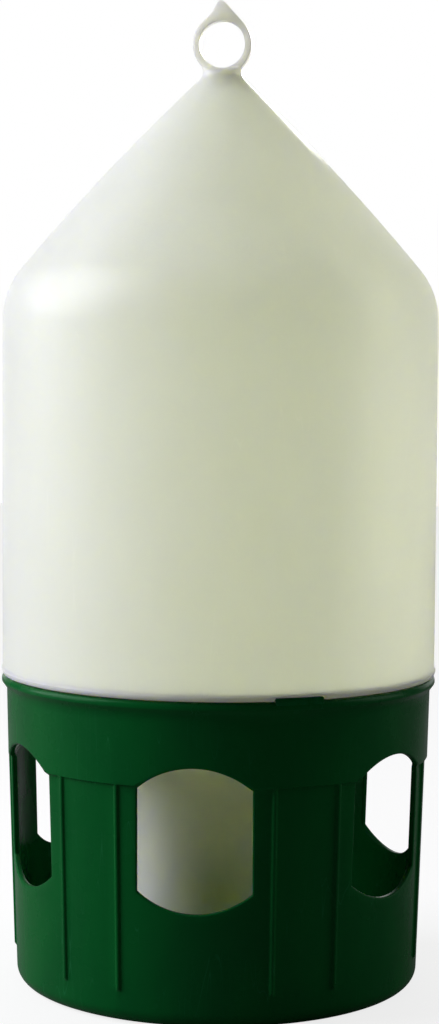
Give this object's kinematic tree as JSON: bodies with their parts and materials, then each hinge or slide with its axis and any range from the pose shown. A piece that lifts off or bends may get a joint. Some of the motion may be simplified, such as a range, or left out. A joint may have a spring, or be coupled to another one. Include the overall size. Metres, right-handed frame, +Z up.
{
  "type": "pigeon drinker",
  "caption": "Tower drinker for pigeons: a cone-topped water tank with a hanging ring, lifting out of a round drinking base with arched windows.",
  "frame": {"origin": "middle of the underside of the drinking base", "axes": "+Z up along the tank's axis, -Y out through the middle of the front window, +X to the right seen from the front"},
  "size_m": [0.1814, 0.1814, 0.4066],
  "materials": {
    "green_plastic": "moulded polypropylene, satin gloss",
    "natural_white_plastic": "blow-moulded natural polyethylene, milky satin"
  },
  "bodies": {
    "base": {"drinking_base": "green_plastic"},
    "tank": {"water_tank": "natural_white_plastic"}
  },
  "joints": [
    {"name": "tank_lift", "type": "slide", "parent": "base", "child": "tank", "axis": [0, 0, 1], "range_m": [0, 0.13]}
  ]
}
